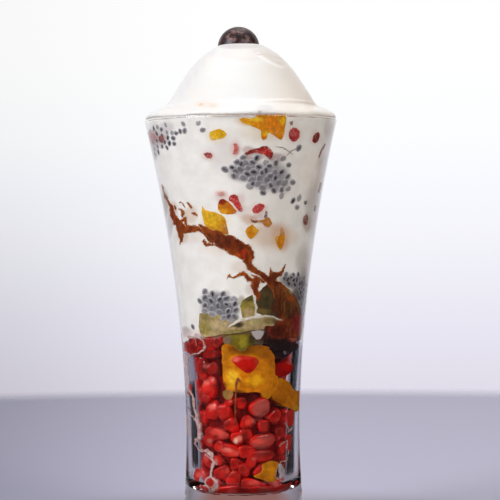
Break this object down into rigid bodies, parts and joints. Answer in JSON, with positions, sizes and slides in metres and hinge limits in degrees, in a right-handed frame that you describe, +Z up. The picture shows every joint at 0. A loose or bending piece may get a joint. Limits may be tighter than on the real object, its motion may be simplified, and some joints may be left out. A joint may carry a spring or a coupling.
{
  "type": "falooda",
  "caption": "Falooda in a tall flared glass: pomegranate arils, mango and kiwi under thick milk with soaked basil seeds and brown sauce, capped by ice cream and a dark berry",
  "frame": {"origin": "the middle of the glass foot's flat underside", "axes": "+Z up along the glass; -Y is the front, the side with the large mango cube; +X is the viewer's right"},
  "size_m": [0.076, 0.076, 0.1965],
  "materials": {
    "glass": "clear, polished",
    "milk": "thick white milk, wet",
    "ice_cream": "melting vanilla ice cream, soft sheen",
    "dark_berry": "dark glossy berry skin",
    "mango": "cut ripe mango, wet",
    "kiwi": "cut kiwi, wet",
    "dark_kiwi": "cut kiwi coated with sauce",
    "aril": "pomegranate aril, glossy",
    "basil": "soaked basil seed, jelly coat",
    "sauce": "thin brown sauce"
  },
  "bodies": {
    "root": {"glass": "glass", "pomegranate_heap": "aril", "milk": "milk", "aril_on_mango": "aril", "aril_by_berry": "aril", "dark_berry_right": "dark_berry", "kiwi_slice_flat": "kiwi", "kiwi_wedge": "kiwi", "kiwi_slice_upright": "dark_kiwi", "kiwi_slice_back": "kiwi", "kiwi_cube_front": "kiwi", "basil_seeds_high_left": "basil", "basil_seeds_middle": "basil", "basil_seeds_low_left": "basil", "basil_seeds_low_right": "basil", "basil_seeds_back_high": "basil", "basil_seeds_side": "basil", "mango_cube_front": "mango", "mango_cube_right": "mango", "mango_piece_low": "mango", "mango_cube_back": "mango", "mango_piece_left": "mango", "mango_top_front": "mango", "mango_top_left": "mango", "mango_mid_left": "mango", "mango_wedge": "mango", "mango_mid_low": "mango", "mango_mid_right": "mango", "mango_back_high": "mango", "mango_back_mid": "mango", "aril_high_right": "aril", "aril_high_far_right": "aril", "aril_high_left": "aril", "aril_over_seeds": "aril", "aril_mid_left": "aril", "aril_mid_right": "aril", "aril_back_high": "aril", "aril_back_left": "aril", "aril_side_right": "aril", "sauce_streak": "sauce", "sauce_pool": "sauce", "ice_cream": "ice_cream", "top_berry": "dark_berry"}
  },
  "joints": []
}
